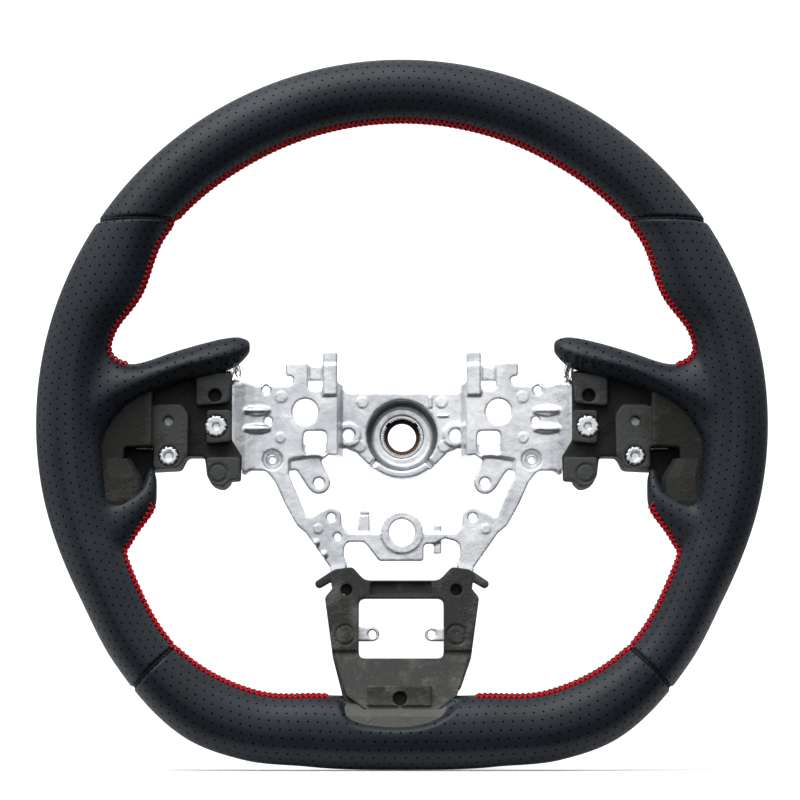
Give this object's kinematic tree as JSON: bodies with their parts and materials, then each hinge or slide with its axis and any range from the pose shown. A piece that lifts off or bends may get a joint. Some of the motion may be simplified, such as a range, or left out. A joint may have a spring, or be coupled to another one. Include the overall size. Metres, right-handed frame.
{
  "type": "steering wheel",
  "caption": "Bare three-spoke steering wheel with a flattened bottom: perforated leather rim with contrast stitching over foam, on an exposed die-cast armature with a splined hub.",
  "frame": {"origin": "on the steering column's axis, on the rear face of the hub, where it seats on the column", "axes": "+X is the driver's right, +Z is 12 o'clock, and -Y points along the column's axis towards the driver; the wheel stands upright"},
  "size_m": [0.3704, 0.0585, 0.3614],
  "materials": {
    "cast_aluminium": "as-cast satin light alloy with ejector marks",
    "oiled_steel": "serrated steel, darkened and a little rusty",
    "bright_alloy": "bright threaded bosses with a trace of flash",
    "core_steel": "plain hidden steel ring",
    "moulded_foam": "matte integral-skin polyurethane foam",
    "perforated_leather": "blue-black grained leather with a staggered field of small holes",
    "red_thread": "waxed polyester cross stitching",
    "black_thread": "waxed polyester seam thread"
  },
  "bodies": {
    "root": {"armature_casting": "cast_aluminium", "hub_spline_bush": "oiled_steel", "rim_core": "core_steel", "pad_boss_left_upper": "bright_alloy", "pad_boss_left_lower": "bright_alloy", "pad_boss_right_upper": "bright_alloy", "pad_boss_right_lower": "bright_alloy", "side_pad_left": "moulded_foam", "side_pad_right": "moulded_foam", "lower_pad": "moulded_foam", "rim_foam": "moulded_foam", "leather_top": "perforated_leather", "leather_left": "perforated_leather", "leather_right": "perforated_leather", "leather_bottom": "perforated_leather", "seam_thread_upper_left": "black_thread", "seam_thread_upper_right": "black_thread", "seam_thread_lower_left": "black_thread", "seam_thread_lower_right": "black_thread", "stitching_top": "red_thread", "stitching_lower_left": "red_thread", "stitching_lower_right": "red_thread"}
  },
  "joints": []
}
